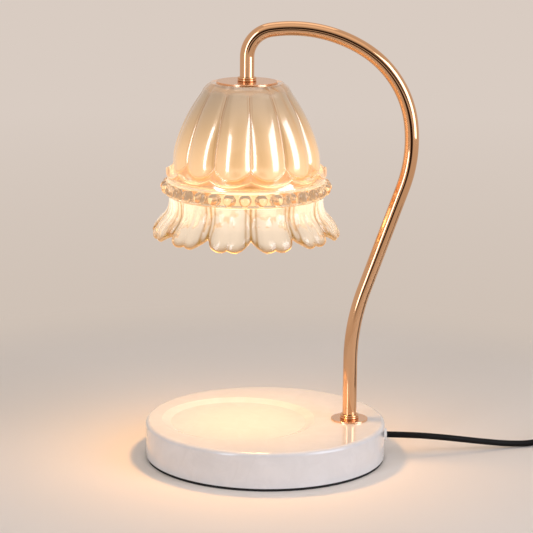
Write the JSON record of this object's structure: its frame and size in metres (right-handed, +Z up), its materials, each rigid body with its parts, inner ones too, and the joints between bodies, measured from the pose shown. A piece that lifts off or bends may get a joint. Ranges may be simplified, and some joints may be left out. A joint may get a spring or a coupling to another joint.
{
  "type": "candle warmer lamp",
  "caption": "Table lamp that melts a jar candle from above: marble base, bent metal arm, glass flower shade with a downward bulb, and a corded dimmer.",
  "frame": {"origin": "centre of the round base's underside, on the table", "axes": "+Z up; +X from the base's centre to the arm's foot, with the cord leaving that way; the lamp faces -Y"},
  "size_m": [0.4903, 0.17, 0.3103],
  "materials": {
    "marble": "polished white marble",
    "foam_pad": "black foam rubber sheet",
    "rose_gold": "polished rose-gold plating on steel",
    "amber_glass": "pressed amber glass with a pearl lustre inside the dome",
    "zinc_steel": "zinc plated",
    "silicone": "moulded silicone",
    "ceramic": "matt fired steatite",
    "brass": "stamped and plated",
    "reflector_glass": "pressed glass with a mirror coat inside",
    "lens_glass": "clear pressed glass, lit",
    "capsule_glass": "quartz capsule, lit",
    "white_nylon": "natural nylon, slightly see-through",
    "black_pvc": "extruded soft PVC",
    "black_abs": "fine-textured moulded ABS",
    "strap_cloth": "woven hook-and-loop tape",
    "wire_pvc": "thin wire insulation",
    "circuit_board": "glass-fibre laminate",
    "component_resin": "moulded resin"
  },
  "bodies": {
    "stand": {"arm_tube": "rose_gold", "arm_wires": "wire_pvc", "base_pad": "foam_pad", "coil_lead": "black_pvc", "coil_strap": "strap_cloth", "cord_grommet": "white_nylon", "cord_stop": "white_nylon", "dimmer_board": "circuit_board", "dimmer_components": "component_resin", "dimmer_cord_ends": "black_pvc", "dimmer_lower_shell": "black_abs", "dimmer_pot": "component_resin", "dimmer_relief_in": "black_pvc", "dimmer_relief_out": "black_pvc", "dimmer_screws": "zinc_steel", "dimmer_upper_shell": "black_abs", "dimmer_wires": "wire_pvc", "foot_collar": "rose_gold", "foot_flange": "rose_gold", "foot_lock_washer": "zinc_steel", "foot_nut": "zinc_steel", "foot_washer": "zinc_steel", "glass_dome": "amber_glass", "glass_skirt": "amber_glass", "gu10_holder": "ceramic", "head_collar": "rose_gold", "head_nut": "zinc_steel", "holder_bracket": "zinc_steel", "holder_contacts": "brass", "holder_screws": "zinc_steel", "lamp_lead": "black_pvc", "lead_coil": "black_pvc", "lower_gasket": "silicone", "marble_base": "marble", "plug_blades": "brass", "plug_body": "black_pvc", "plug_lead": "black_pvc", "shade_disc": "rose_gold", "shade_washer": "zinc_steel", "upper_gasket": "silicone"},
    "bulb": {"bulb_pins": "brass", "bulb_base": "ceramic", "bulb_reflector": "reflector_glass", "bulb_lens": "lens_glass", "bulb_capsule": "capsule_glass"},
    "dial": {"dimmer_dial": "black_abs", "dial_shaft": "black_abs"}
  },
  "joints": [
    {"name": "bulb_twist", "type": "hinge", "parent": "stand", "child": "bulb", "pos_m": [-0.01485, 0, 0.2327], "axis": [0, 0, -1], "range_deg": [0, 20]},
    {"name": "dial_turn", "type": "hinge", "parent": "stand", "child": "dial", "pos_m": [0.271, 0.0295, 0.0174], "axis": [0, 0, 1], "range_deg": [0, 270]}
  ]
}
